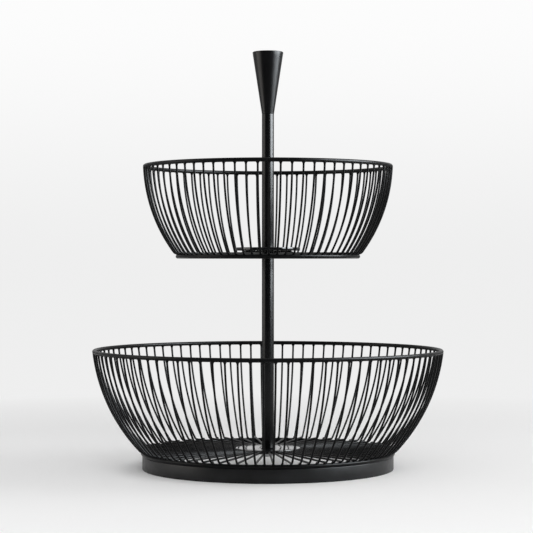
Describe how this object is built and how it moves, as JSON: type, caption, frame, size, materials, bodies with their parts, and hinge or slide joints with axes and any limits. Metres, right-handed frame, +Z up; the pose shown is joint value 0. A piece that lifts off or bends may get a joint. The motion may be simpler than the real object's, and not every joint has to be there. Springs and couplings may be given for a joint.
{
  "type": "tiered wire basket",
  "caption": "Two-tier round wire basket: two flared wire bowls on a central stem over a flat steel base hoop, with a tapered cone handle on top.",
  "frame": {"origin": "on the table under the middle of the stem", "axes": "+Z up along the stem, -Y towards the viewer of the picture"},
  "size_m": [0.3472, 0.3472, 0.413],
  "materials": {
    "wire_coat": "satin black powder coat",
    "band_coat": "satin black powder coat",
    "plate_coat": "satin black powder coat",
    "stem_coat": "semi-gloss black coat",
    "handle_coat": "satin black coat",
    "plain_steel": "zinc plated"
  },
  "bodies": {
    "base": {"base_band": "band_coat", "base_screw": "plain_steel", "base_washer": "plain_steel", "lower_bottom_ring": "wire_coat", "lower_rim_ring": "wire_coat", "lower_hub_plate": "plate_coat", "lower_wall_ribs": "wire_coat", "lower_floor_spokes": "wire_coat", "lower_stem_tube": "stem_coat", "lower_stem_foot_insert": "plain_steel", "lower_stem_head_insert": "plain_steel"},
    "upper_basket": {"upper_bottom_ring": "wire_coat", "upper_rim_ring": "wire_coat", "upper_hub_plate": "plate_coat", "upper_wall_ribs": "wire_coat", "upper_floor_spokes": "wire_coat"},
    "upper_stem": {"upper_stem_tube": "stem_coat", "upper_stem_foot_insert": "plain_steel", "upper_stem_head_insert": "plain_steel", "joining_stud": "plain_steel", "handle_stud": "plain_steel"},
    "handle": {"handle": "handle_coat"}
  },
  "joints": [
    {"name": "upper_basket_turn", "type": "hinge", "parent": "base", "child": "upper_basket", "pos_m": [0, 0, 0.21755], "axis": [0, 0, 1], "continuous": true},
    {"name": "upper_stem_lift", "type": "slide", "parent": "base", "child": "upper_stem", "axis": [0, 0, 1], "range_m": [0, 0.022]},
    {"name": "handle_lift", "type": "slide", "parent": "upper_stem", "child": "handle", "axis": [0, 0, 1], "range_m": [0, 0.02]}
  ]
}
